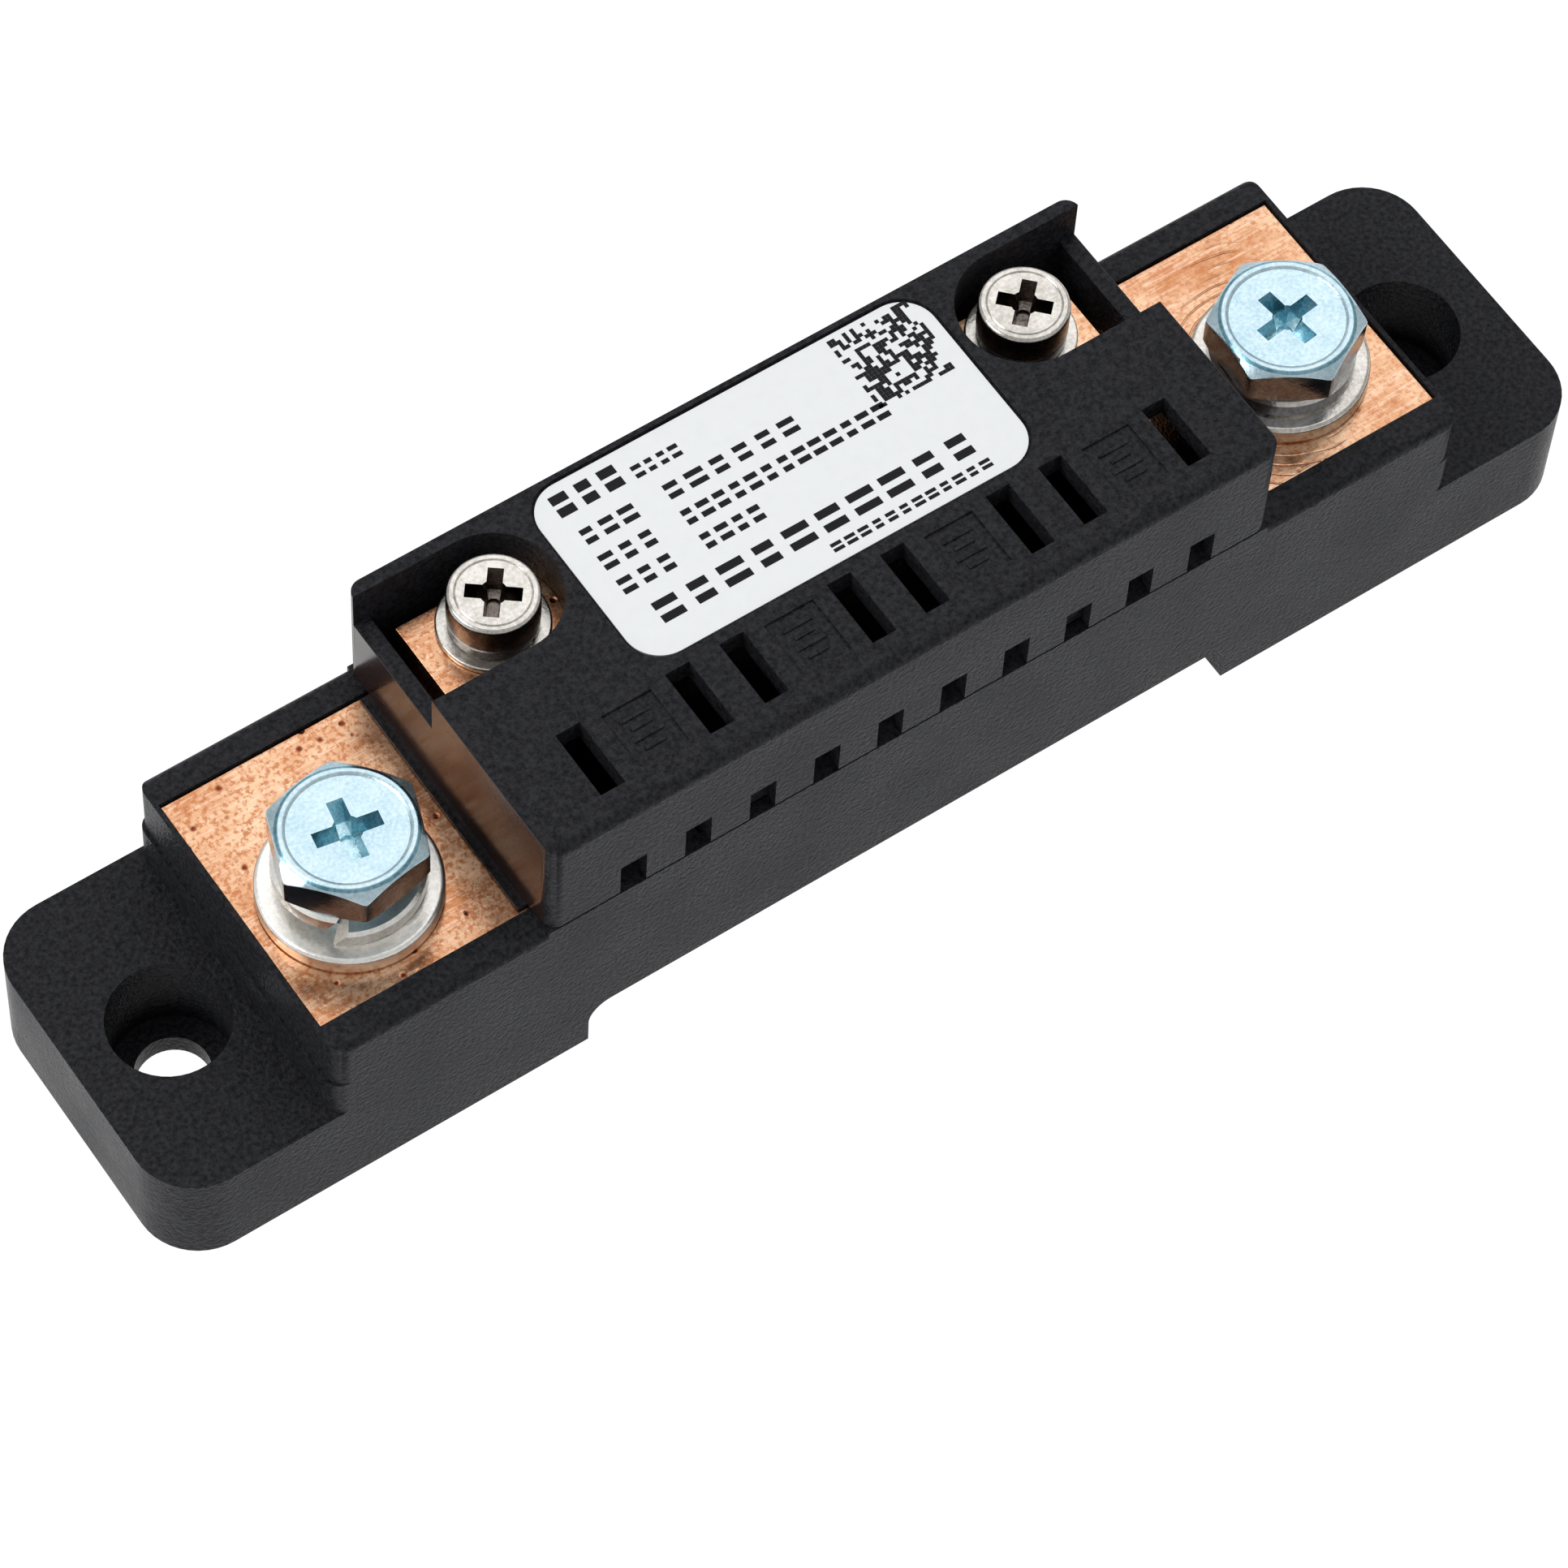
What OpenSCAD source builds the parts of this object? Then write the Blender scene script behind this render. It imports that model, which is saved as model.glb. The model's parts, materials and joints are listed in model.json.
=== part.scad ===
// Base-mounted shunt for a battery monitor.
//
// Two copper blocks sit in a moulded base and are joined under the cover by brazed resistance
// strips. Each block carries a hex bolt for the power cable, on an open pad, and a pan head screw
// for the sense wire, on a raised post in a pocket of the cover. The base stands on two feet, each
// with a counterbored hole for a panel screw.
//
// Units are millimetres. +X runs along the shunt, -Y is the front with the ventilation slots, and
// +Z is up. The origin is the centre of the underside.

/* [Base] */
// Length over both mounting feet
base_l = 120; // [112:1:150]
// Width of the base and of the cover
base_w = 25.2; // [24:0.2:30]
// Height of the mounting feet
foot_h = 9.2; // [7:0.1:12]
// Corner radius of the mounting feet
foot_r = 4.6; // [1:0.1:8]
// Length of the raised middle that holds the copper
body_l = 94; // [90:0.5:104]
// Height of the rim around the copper
rim_h = 17.9; // [16:0.1:20]
// Top of the floor that the copper blocks stand on
floor_h = 8; // [6.5:0.1:9]

/* [Mounting holes] */
// Distance between the two mounting holes
hole_pitch = 105; // [103:0.5:108]
// Diameter of the mounting holes
hole_d = 5.4; // [4:0.1:6]
// Diameter of the counterbore for the screw head
counterbore_d = 8.8; // [7:0.1:9.4]
// Thickness of the floor under the screw head
hole_floor = 1.8; // [1:0.1:4]

/* [Underside recess] */
// Length of the recess between the feet
recess_l = 54.6; // [30:0.2:60]
// Height of the recess
recess_h = 4.1; // [2:0.1:5]
// Radius of the recess's inner corners
recess_r = 1.8; // [0.5:0.1:2]

/* [Cover] */
// Length of the cover
cover_l = 60.1; // [58:0.1:62]
// Height of the cover's top face
cover_h = 28; // [26.8:0.1:32]
// Thickness of the cover's long walls
cover_wall = 1; // [0.8:0.1:1.2]
// Thickness of the cover's end walls
end_wall = 1.3; // [0.9:0.1:1.4]
// Thickness of the cover's top
cover_top = 1.8; // [1.2:0.1:2.2]
// Height of the low end wall that the sense wire passes over
wire_sill_h = 24.5; // [24.4:0.1:25.5]

/* [Ventilation] */
// Distance between the places in the row of slots
slot_pitch = 4.38; // [4:0.02:4.6]
// Width of one slot
slot_w = 1.95; // [1:0.05:2.4]
// Length of one slot
slot_l = 5.5; // [3:0.1:6]
// Distance between the vent notches along the cover's front edge
notch_pitch = 5.25; // [4:0.05:5.6]
// Width of one vent notch
notch_w = 2.1; // [1:0.1:3]
// Height of one vent notch
notch_h = 3.2; // [1:0.1:4]

/* [Copper blocks] */
// Height of the open pad under the power cable
pad_h = 17.6; // [16.5:0.1:17.8]
// Height of the post that carries the sense screw
block_h = 24.1; // [22:0.1:24.2]
// Distance from the middle to the block's outer end
block_out = 46.6; // [46:0.1:46.7]
// Distance from the middle to the outer side of each post, left and right
post_out = [27.7, 26.8]; // [26.5:0.1:28]
// Width of the post, measured from the back of the block
post_w = 9.6; // [9:0.1:12]
// Distance from the middle to the block's inner end
block_in = 16.5; // [12:0.1:17]
// Width of the block
block_w = 20.3; // [18:0.1:20.4]

/* [Resistance strips] */
// Thickness of one strip
strip_t = 0.8; // [0.5:0.1:1.5]
// Height of one strip
strip_h = 8; // [5:0.5:12]
// Distance between the strips
strip_pitch = 6; // [4:0.5:8]

/* [Power terminals] */
// Distance from the middle to each power bolt, left and right
bolt_x = [39.3, 38.8]; // [38:0.1:39.6]
// Offset of each power bolt from the centre line, left and right
bolt_y = [-2.3, -2]; // [-3:0.1:3]
// Thread diameter of the power bolts
bolt_d = 6; // [5:1:6]
// Turn of each bolt head as it was tightened, left and right
bolt_turn = [10, 27]; // [0:1:60]
// Rise of each spring washer's free end, left and right: 0 is a washer that is pressed flat
bolt_spring_rise = [1.8, 0]; // [0:0.1:1.9]

/* [Sense terminals] */
// Distance from the middle to each sense screw
sense_x = 21.95; // [21.6:0.05:22.4]
// Offset of the sense screws from the centre line
sense_y = 6.7; // [6.4:0.1:6.9]
// Thread diameter of the sense screws
sense_d = 4; // [3:0.5:4]
// Turn of the cross in each screw head as it was tightened, left and right
sense_turn = [-38, -46]; // [-90:1:0]

/* [Label] */
// Length of the label
label_l = 32.6; // [20:0.2:32.6]
// Width of the label
label_w = 15.8; // [8:0.2:15.8]

/* [Hidden] */
$fn = 96;
eps = 0.01;
cut = 50;

// Colours
black_plastic = [0.07, 0.07, 0.08];
copper = [0.85, 0.48, 0.32];
resistance_alloy = [0.62, 0.50, 0.42];
blue_zinc = [0.80, 0.85, 0.90];
nickel = [0.78, 0.76, 0.72];
paper_white = [0.93, 0.93, 0.92];

// Base
body_corner_r = 1.2;
ledge_h = 13;
ledge_out = 0.25;
well_play = 0.1;
well_l = 2*block_out + well_play;
well_w = block_w + well_play;
recess_x = 0.7;

// Snap tabs of the cover, and the keyholes in the base walls that they spring into
snap_x = 14;
snap_w = 6;
snap_y = block_w/2 + 0.35;
snap_t = 0.9;
snap_low = rim_h - 5.5;
snap_barb = 0.45;
snap_barb_h = 1.6;
snap_play = 0.2;

// Cover
shadow_gap = 0.2;
cover_low = rim_h + shadow_gap;
cover_corner_r = 1.1;
foot_lip = 0.7;
foot_lip_h = 0.4;
lip_play = 0.05;
pocket_r = 4.9;
shroud_t = 1.1;
shroud_low = block_h + 0.1;
vent_places = 12;
vent_shift = 0.45;
vent_y = -7.65;
notch_count = 10;
notch_shift = 0.35;
square_w = 4;
square_l = 4.7;
square_depth = 0.2;
cover_edge_r = 0.9;
rim_edge_r = 0.8;
label_x = -0.15;
label_y = 4.1;
label_r = 2.7;
label_t = 0.15;
label_margin = 0.2;
label_sink = 0.3;

// Fasteners: heads, cross recesses, washers and shank length under the head
bolt_head_af = 10;
bolt_head_h = 3.3;
bolt_face_d = 9.1;
bolt_cross_l = 5;
bolt_cross_w = 1.2;
bolt_cross_turn = -20;
bolt_spring_d = 10.6;
bolt_spring_t = 1.6;
bolt_spring_turn = [228, 60];
bolt_flat_d = 12.9;
bolt_flat_t = 1.5;
bolt_l = 12;
sense_head_d = 6.5;
sense_head_h = 2.5;
sense_edge_r = 0.7;
sense_cross_l = 3.8;
sense_cross_w = 0.9;
sense_spring_d = 6.4;
sense_spring_t = 1.1;
sense_spring_turn = [-61, 100];
sense_flat_d = 8;
sense_flat_t = 0.5;
sense_l = 8;
thread_play = 0.05;
washer_play = 0.3;
chamfer_slope = 30;
block_screw_d = 4;
block_screw_head_d = 7.6;
block_screw_head_h = 2;
block_screw_l = 10;
block_screw_low = recess_h + 0.1;
blind_end = 0.6;
strip_seat = 1.2;
strip_middle = floor_h + (pad_h - floor_h)/2;
notch_r = 0.9;

// Side of a node: -1 is the left end and 1 the right end
LEFT = -1;
RIGHT = 1;
function pick(pair, side) = side < 0 ? pair[0] : pair[1];

// ---- Shared shapes ----

// Rectangle with round corners, centred
module rounded_rect(l, w, r) {
    square([l - 2*r, w], center = true);
    square([l, w - 2*r], center = true);
    for (x = [-1, 1], y = [-1, 1])
        translate([x*(l/2 - r), y*(w/2 - r)]) circle(r);
}

// Rounded block standing on z = low
module rounded_block(l, w, r, low, high) {
    translate([0, 0, low]) linear_extrude(high - low) rounded_rect(l, w, r);
}

// Box from its two corners
module box(low, high) {
    translate(low) cube(high - low);
}

// What a rounding of radius r takes off an edge along X at y = 0, z = 0, for a body at +Y and -Z
module edge_rounding(from_x, to_x, r) {
    translate([from_x, 0, 0]) rotate([90, 0, 90]) linear_extrude(to_x - from_x) difference() {
        translate([-1, -r]) square([1 + r, r + 1]);
        translate([r, -r]) circle(r);
    }
}

// Flat ring standing on z = 0
module ring(outer_d, inner_d, t) {
    difference() {
        cylinder(d = outer_d, h = t);
        translate([0, 0, -1]) cylinder(d = inner_d, h = t + 2);
    }
}

// Ring with one slanted slit, pressed flat under a tight bolt
module flat_spring_ring(outer_d, inner_d, t) {
    slit_w = t*0.35;
    difference() {
        ring(outer_d, inner_d, t);
        rotate([25, 0, 0]) translate([0, -slit_w/2, -outer_d/2]) cube([outer_d, slit_w, outer_d]);
    }
}

// The same ring under a loose bolt: from the slit it climbs along one half and on along the other
module loose_spring_ring(outer_d, inner_d, t, rise) {
    low_x = -outer_d/2 - 1;
    high_x = outer_d/2;
    slit_w = t*0.35;
    lap = slit_w*0.35;
    difference() {
        intersection() {
            ring(outer_d, inner_d, t + rise);
            union() {
                translate([0, outer_d, 0]) rotate([90, 0, 0]) linear_extrude(outer_d + lap)
                    polygon([[high_x, 0], [high_x, t], [low_x, t + rise/2], [low_x, rise/2]]);
                translate([0, lap, 0]) rotate([90, 0, 0]) linear_extrude(outer_d + lap)
                    polygon([[low_x, rise/2], [low_x, t + rise/2], [high_x, t + rise], [high_x, rise]]);
            }
        }
        translate([0, -slit_w/2, -1]) cube([outer_d, slit_w, t + rise + 2]);
    }
}

// Cross recess cut down from z = 0, with a point at its floor
module cross_recess(span, arm_w, depth) {
    for (a = [0, 90]) rotate([0, 0, a])
        translate([-span/2, -arm_w/2, -depth]) cube([span, arm_w, depth + 1]);
    translate([0, 0, -depth*1.25]) cylinder(d1 = arm_w*0.4, d2 = arm_w*2.1, h = depth*1.25 + eps);
}

// Plain shank below z = 0, with a chamfered tip
module shank(d, l) {
    tip = d*0.12;
    translate([0, 0, -l + tip]) cylinder(d = d, h = l - tip);
    translate([0, 0, -l]) cylinder(d1 = d*0.76, d2 = d, h = tip);
}

// Hex head chamfered above and below. z = 0 is its underside
module hex_head(af, face_d, h) {
    corner_d = 2*af/sqrt(3);
    chamfer_h = (corner_d - face_d)/2*tan(chamfer_slope);
    intersection() {
        cylinder(d = corner_d, h = h, $fn = 6);
        union() {
            cylinder(d1 = face_d, d2 = corner_d, h = chamfer_h);
            translate([0, 0, chamfer_h]) cylinder(d = corner_d, h = h - 2*chamfer_h);
            translate([0, 0, h - chamfer_h]) cylinder(d1 = corner_d, d2 = face_d, h = chamfer_h);
        }
    }
}

// Flat head with a rounded upper edge. z = 0 is its underside
module pan_head(d, h, edge_r) {
    rotate_extrude() {
        square([d/2 - edge_r, h]);
        square([d/2, h - edge_r]);
        translate([d/2 - edge_r, h - edge_r]) circle(edge_r);
    }
}

// ---- Base ----

// Recess under the middle, with round inner corners
module underside_recess() {
    translate([recess_x, 0, 0]) rotate([90, 0, 0]) translate([0, 0, -cut/2]) linear_extrude(cut) {
        translate([-recess_l/2, -1]) square([recess_l, 1 + recess_h - recess_r]);
        translate([-recess_l/2 + recess_r, -1]) square([recess_l - 2*recess_r, 1 + recess_h]);
        for (x = [-1, 1]) translate([x*(recess_l/2 - recess_r), recess_h - recess_r]) circle(recess_r);
    }
}

// Keyhole for one snap tab, open to the well
module snap_keyhole(x, y_side) {
    inner = block_w/2 - 1;
    outer = snap_y + snap_t + snap_play;
    translate([x, 0, 0]) mirror([0, y_side < 0 ? 1 : 0, 0]) {
        box([-snap_w/2 - snap_play, inner, snap_low - 0.4], [snap_w/2 + snap_play, outer, rim_h + 1]);
        box([-snap_w/2 - snap_play, inner, snap_low - 0.4],
            [snap_w/2 + snap_play, outer + snap_barb, snap_low + snap_barb_h + snap_play]);
    }
}

module base() {
    color(black_plastic) difference() {
        union() {
            rounded_block(base_l, base_w, foot_r, 0, foot_h);
            rounded_block(body_l + 2*ledge_out, base_w, body_corner_r, 0, ledge_h);
            rounded_block(body_l, base_w, body_corner_r, 0, rim_h);
        }
        box([-well_l/2, -well_w/2, floor_h], [well_l/2, well_w/2, cut]);
        underside_recess();
        for (side = [LEFT, RIGHT]) {
            translate([side*hole_pitch/2, 0, 0]) {
                translate([0, 0, hole_floor]) cylinder(d = counterbore_d, h = cut);
                translate([0, 0, -1]) cylinder(d = hole_d, h = cut);
            }
            translate([side*sense_x, 0, 0]) {
                cylinder(d = block_screw_d + 0.6, h = cut);
                translate([0, 0, recess_h - eps])
                    cylinder(d1 = block_screw_head_d + 0.3, d2 = block_screw_d + 0.3, h = block_screw_head_h);
            }
            for (y_side = [-1, 1]) snap_keyhole(side*snap_x, y_side);
        }
        for (x_side = [0, 1], y_side = [0, 1]) mirror([x_side, 0, 0]) mirror([0, y_side, 0])
            translate([0, -base_w/2, rim_h]) edge_rounding(cover_l/2, body_l/2 + 1, rim_edge_r);
    }
}

// ---- Cover ----

// Outline of one sense pocket, open towards the end of the cover. grow widens it into its shroud
module pocket_outline(side, grow) {
    mirror([side < 0 ? 1 : 0, 0]) {
        translate([sense_x, sense_y]) circle(pocket_r + grow);
        translate([sense_x, sense_y - pocket_r - grow])
            square([cover_l/2 + 1 - sense_x, 2*(pocket_r + grow)]);
    }
}

// Wall around one sense pocket, down to the copper
module pocket_shroud(side) {
    intersection() {
        translate([0, 0, shroud_low]) linear_extrude(cover_h - cover_top - shroud_low + eps)
            difference() {
                pocket_outline(side, shroud_t);
                pocket_outline(side, 0);
            }
        box([-cover_l/2 + end_wall - eps, -base_w/2 + cover_wall - eps, 0],
            [cover_l/2 - end_wall + eps, base_w/2 - cover_wall + eps, cut]);
    }
}

// Slots and blank squares in a row: every third place, starting with the second, is a square
module vent_row() {
    for (place = [0 : vent_places - 1])
        translate([vent_shift + (place - (vent_places - 1)/2)*slot_pitch, vent_y, 0])
            if (place % 3 == 1)
                box([-square_w/2, -square_l/2, cover_h - square_depth], [square_w/2, square_l/2, cut]);
            else
                box([-slot_w/2, -slot_l/2, cover_h - cover_top - 1], [slot_w/2, slot_l/2, cut]);
}

// One springy tab with an outward barb, and the bridge that joins it to the long wall
module snap_tab(x, y_side) {
    translate([x, 0, 0]) mirror([0, y_side < 0 ? 1 : 0, 0]) {
        box([-snap_w/2, snap_y, snap_low], [snap_w/2, snap_y + snap_t, cover_low + 3]);
        box([-snap_w/2, snap_y, cover_low], [snap_w/2, base_w/2 - cover_wall + eps, cover_low + 3]);
        translate([-snap_w/2, snap_y + snap_t, snap_low]) rotate([90, 0, 90]) linear_extrude(snap_w)
            polygon([[-eps, 0], [snap_barb, snap_barb_h], [-eps, snap_barb_h]]);
    }
}

module cover() {
    color(black_plastic) {
        difference() {
            rounded_block(cover_l, base_w, cover_corner_r, cover_low, cover_h);
            box([-cover_l/2 + end_wall, -base_w/2 + cover_wall, -1],
                [cover_l/2 - end_wall, base_w/2 - cover_wall, cover_h - cover_top]);
            vent_row();
            for (i = [0 : notch_count - 1])
                translate([notch_shift + (i - (notch_count - 1)/2)*notch_pitch, -base_w/2, 0])
                    box([-notch_w/2, -1, 0], [notch_w/2, cover_wall + 1, cover_low + notch_h]);
            translate([label_x, label_y, cover_h - label_sink]) linear_extrude(1)
                rounded_rect(label_l + 2*label_margin, label_w + 2*label_margin, label_r + label_margin);
            for (side = [LEFT, RIGHT])
                translate([0, 0, wire_sill_h]) linear_extrude(cut) pocket_outline(side, 0);
            translate([0, -base_w/2, cover_h]) edge_rounding(-cover_l/2 - 1, cover_l/2 + 1, cover_edge_r);
        }
        for (side = [LEFT, RIGHT]) {
            pocket_shroud(side);
            for (y_side = [-1, 1]) snap_tab(side*snap_x, y_side);
            mirror([side < 0 ? 1 : 0, 0, 0]) {
                box([cover_l/2 - end_wall, -block_w/2 + 0.3, pad_h + lip_play],
                    [cover_l/2, block_w/2 - 0.3, cover_low + eps]);
                box([cover_l/2 - eps, -block_w/2 + 0.3, pad_h + lip_play],
                    [cover_l/2 + foot_lip, block_w/2 - 0.3, pad_h + foot_lip_h]);
            }
        }
    }
}

module rating_label() {
    color(paper_white) translate([label_x, label_y, cover_h - label_sink]) linear_extrude(label_t)
        rounded_rect(label_l, label_w, label_r);
}

// ---- Copper blocks and strips ----

module terminal_block(side) {
    out = pick(post_out, side);
    color(copper) difference() {
        mirror([side < 0 ? 1 : 0, 0, 0]) union() {
            box([block_in, -block_w/2, floor_h], [block_out, block_w/2, pad_h]);
            box([block_in, block_w/2 - post_w, floor_h], [out, block_w/2, block_h]);
        }
        at_bolt(side, 0) cylinder(r = bolt_d/2 + thread_play, h = cut);
        at_sense(side, block_h - sense_l - blind_end) cylinder(r = sense_d/2 + thread_play, h = cut);
        translate([side*sense_x, 0, 0])
            cylinder(r = block_screw_d/2 + thread_play, h = block_screw_low + block_screw_l + blind_end);
        for (place = [-1, 0, 1]) strip_seat_cut(place);
    }
}

// Seats of one strip in the inner faces of both blocks
module strip_seat_cut(place) {
    half_l = block_in + strip_seat;
    box([-half_l, place*strip_pitch - strip_t/2, strip_middle - strip_h/2],
        [half_l, place*strip_pitch + strip_t/2, strip_middle + strip_h/2]);
}

// Strip with a filed trimming notch in its upper edge
module resistance_strip(place) {
    color(resistance_alloy) difference() {
        strip_seat_cut(place);
        translate([place*5, cut/2, strip_middle + strip_h/2]) rotate([90, 0, 0]) cylinder(r = notch_r, h = cut);
    }
}

// ---- Fasteners ----

module at_bolt(side, z) {
    translate([side*pick(bolt_x, side), pick(bolt_y, side), z]) children();
}

module at_sense(side, z) {
    translate([side*sense_x, sense_y, z]) children();
}

module terminal_bolt(side) {
    under_head = pad_h + bolt_flat_t + bolt_spring_t + pick(bolt_spring_rise, side);
    color(blue_zinc) at_bolt(side, under_head) rotate([0, 0, pick(bolt_turn, side)]) {
        difference() {
            hex_head(bolt_head_af, bolt_face_d, bolt_head_h);
            translate([0, 0, bolt_head_h]) rotate([0, 0, bolt_cross_turn])
                cross_recess(bolt_cross_l, bolt_cross_w, bolt_head_h*0.5);
        }
        shank(bolt_d, bolt_l);
    }
}

module terminal_spring_washer(side) {
    rise = pick(bolt_spring_rise, side);
    hole_d = bolt_d + 2*washer_play;
    color(nickel) at_bolt(side, pad_h + bolt_flat_t) rotate([0, 0, pick(bolt_spring_turn, side)])
        if (rise > 0) loose_spring_ring(bolt_spring_d, hole_d, bolt_spring_t, rise);
        else flat_spring_ring(bolt_spring_d, hole_d, bolt_spring_t);
}

module terminal_flat_washer(side) {
    color(nickel) at_bolt(side, pad_h) ring(bolt_flat_d, bolt_d + 2*washer_play, bolt_flat_t);
}

module sense_screw(side) {
    color(nickel) at_sense(side, block_h + sense_flat_t + sense_spring_t)
        rotate([0, 0, pick(sense_turn, side)]) {
            difference() {
                pan_head(sense_head_d, sense_head_h, sense_edge_r);
                translate([0, 0, sense_head_h]) cross_recess(sense_cross_l, sense_cross_w, sense_head_h*0.5);
            }
            shank(sense_d, sense_l);
        }
}

module sense_spring_washer(side) {
    color(nickel) at_sense(side, block_h + sense_flat_t) rotate([0, 0, pick(sense_spring_turn, side)])
        flat_spring_ring(sense_spring_d, sense_d + 2*washer_play, sense_spring_t);
}

module sense_flat_washer(side) {
    color(nickel) at_sense(side, block_h) ring(sense_flat_d, sense_d + 2*washer_play, sense_flat_t);
}

// Countersunk screw that holds a block down, driven from the underside recess
module block_screw(side) {
    color(blue_zinc) translate([side*sense_x, 0, block_screw_low]) difference() {
        union() {
            cylinder(d1 = block_screw_head_d, d2 = block_screw_d, h = block_screw_head_h);
            cylinder(d = block_screw_d, h = block_screw_l);
        }
        mirror([0, 0, 1]) cross_recess(4, 0.9, 1.2);
    }
}

base();
cover();
rating_label();
terminal_block(LEFT);  // terminal_block_left
terminal_block(RIGHT);  // terminal_block_right
resistance_strip(-1);  // resistance_strip_front
resistance_strip(0);  // resistance_strip_middle
resistance_strip(1);  // resistance_strip_back
terminal_bolt(LEFT);  // terminal_bolt_left
terminal_bolt(RIGHT);  // terminal_bolt_right
terminal_spring_washer(LEFT);  // terminal_spring_washer_left
terminal_spring_washer(RIGHT);  // terminal_spring_washer_right
terminal_flat_washer(LEFT);  // terminal_flat_washer_left
terminal_flat_washer(RIGHT);  // terminal_flat_washer_right
sense_screw(LEFT);  // sense_screw_left
sense_screw(RIGHT);  // sense_screw_right
sense_spring_washer(LEFT);  // sense_spring_washer_left
sense_spring_washer(RIGHT);  // sense_spring_washer_right
sense_flat_washer(LEFT);  // sense_flat_washer_left
sense_flat_washer(RIGHT);  // sense_flat_washer_right
block_screw(LEFT);  // block_screw_left
block_screw(RIGHT);  // block_screw_right
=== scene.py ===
"""Battery monitor shunt: detailed fasteners, materials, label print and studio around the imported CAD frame.

Lengths are in millimetres in the row frame and become metres where a mesh is made. In the materials they are metres,
and noise scales are per metre.
"""

import json
import math
import random

import bmesh
import bpy
from mathutils import Matrix, Vector


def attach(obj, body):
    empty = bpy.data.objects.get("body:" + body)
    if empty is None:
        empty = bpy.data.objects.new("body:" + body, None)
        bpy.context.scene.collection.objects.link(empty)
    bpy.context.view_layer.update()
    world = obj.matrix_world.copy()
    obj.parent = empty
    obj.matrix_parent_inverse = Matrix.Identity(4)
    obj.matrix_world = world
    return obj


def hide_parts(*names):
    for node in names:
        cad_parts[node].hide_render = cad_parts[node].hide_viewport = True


MM = 0.001
TURN = 2*math.pi

# Camera: where it looks, from which side, and how far it leans
CAMERA_TARGET = (-8.75, -9.62, 14)
CAMERA_AZIMUTH = -38.09
CAMERA_ELEVATION = 58.9
CAMERA_DISTANCE = 454.5
CAMERA_ROLL = 4.38
CAMERA_LENS = 151.9
CAMERA_SENSOR = 36

# Heights of the copper that the fasteners stand on
PAD_H = 17.6
POST_H = 24.1

# Power bolts, by side: axis, turn of the hexagon, rise and slit of the spring washer. The left bolt is loose.
BOLT_AXIS = {"left": (-39.3, -2.3), "right": (38.8, -2.0)}
BOLT_TURN = {"left": 10, "right": 27}
BOLT_RISE = {"left": 1.8, "right": 0.0}
BOLT_SLIT = {"left": 228, "right": 60}
BOLT_SLIT_W = 0.5
BOLT = {"af": 10, "face_d": 9.8, "h": 3.3, "d": 6, "l": 12, "pitch": 1.0, "cross_l": 5.0, "cross_w": 1.2,
        "cross_turn": -20, "cross_depth": 1.9}
BOLT_SPRING = {"outer_d": 10.6, "inner_d": 6.6, "t": 1.6}
BOLT_FLAT = {"outer_d": 12.9, "inner_d": 6.6, "t": 1.5, "edge": 0.35}

# Sense screws, by side: axis, turn of the cross, slit of the spring washer
SENSE_AXIS = {"left": (-21.95, 6.7), "right": (21.95, 6.7)}
SENSE_TURN = {"left": -38, "right": -46}
SENSE_SLIT = {"left": -61, "right": 100}
SENSE_SLIT_W = 0.4
SENSE = {"head_d": 6.5, "h": 2.5, "d": 4, "l": 8, "pitch": 0.7, "cross_l": 4.0, "cross_w": 1.1,
         "cross_turn": 0, "cross_depth": 1.6}
SENSE_SPRING = {"outer_d": 6.4, "inner_d": 4.6, "t": 1.1}
SENSE_FLAT = {"outer_d": 8.0, "inner_d": 4.6, "t": 0.5, "edge": 0.15}

# Hexagon: its face as (distance in from the face's edge, drop), and its other small sizes
HEX_FACE = ((0.75, 0.14), (0.58, 0.03), (0.47, 0), (0.26, 0), (0.2, 0.03), (0, 0.16))
HEX_HUB_R = 0.6
HEX_DROP = 0.16
HEX_EDGE_IN = 0.04
HEX_EDGE_DOWN = 0.22
HEX_FOOT = 0.03
HEX_CHAMFER = math.radians(30)
HEX_CORNER_SHARE = 0.99

# Pan head: its shallow groove as (distance in from the wall, drop), and its other small sizes
PAN_GROOVE = ((0.68, 0.03), (0.6, 0.09), (0.52, 0.02))
PAN_HUB_R = 0.5
PAN_HUB_DROP = 0.02
PAN_EDGE = 0.34
PAN_FOOT = 0.12

# Cross recess: how far its cutters stand above the head, how its arms taper, and the cone in its middle
CUT_ABOVE = 0.5
CROSS_FLARE = 0.35
CROSS_FLOOR_L = 0.62
CROSS_FLOOR_W = 0.7
CROSS_DEPTHS = (1.0, 0.985)
CONE_TOP_R = 1.05
CONE_TOP_H = 1.1
CONE_TIP_R = 0.4
CONE_TIP_H = 1.15
CONE_TURN = 3

# Thread: depth and sharpness as shares of its pitch, and the chamfer at its tip
THREAD_DEPTH = 0.42
THREAD_SLOPE = 1.3
THREAD_CREST = 0.12
TIP_SHARE = 0.76
TIP_SLOPE = 0.9
SHANK_OVERLAP = 0.05

# Spring washer: steps around it, chamfer as a share of its thickness, slant of its slit
SPRING_STEPS = 110
SPRING_EDGE = 0.16
SPRING_SLANT = 0.55

# A face whose normal rises less than this is a side. Within a head, as shares of its sizes: how far out and between
# which heights the walls of the cross lie, and where the top ring starts.
SIDE_NORMAL = 0.3
CROSS_REACH = 1.03
CROSS_LOW, CROSS_HIGH = 0.1, 0.93
RING_START = 0.958

# Angles in degrees over which an edge of a washer or screw is sharp
WASHER_SHARP = 35
SCREW_SHARP = 24

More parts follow.
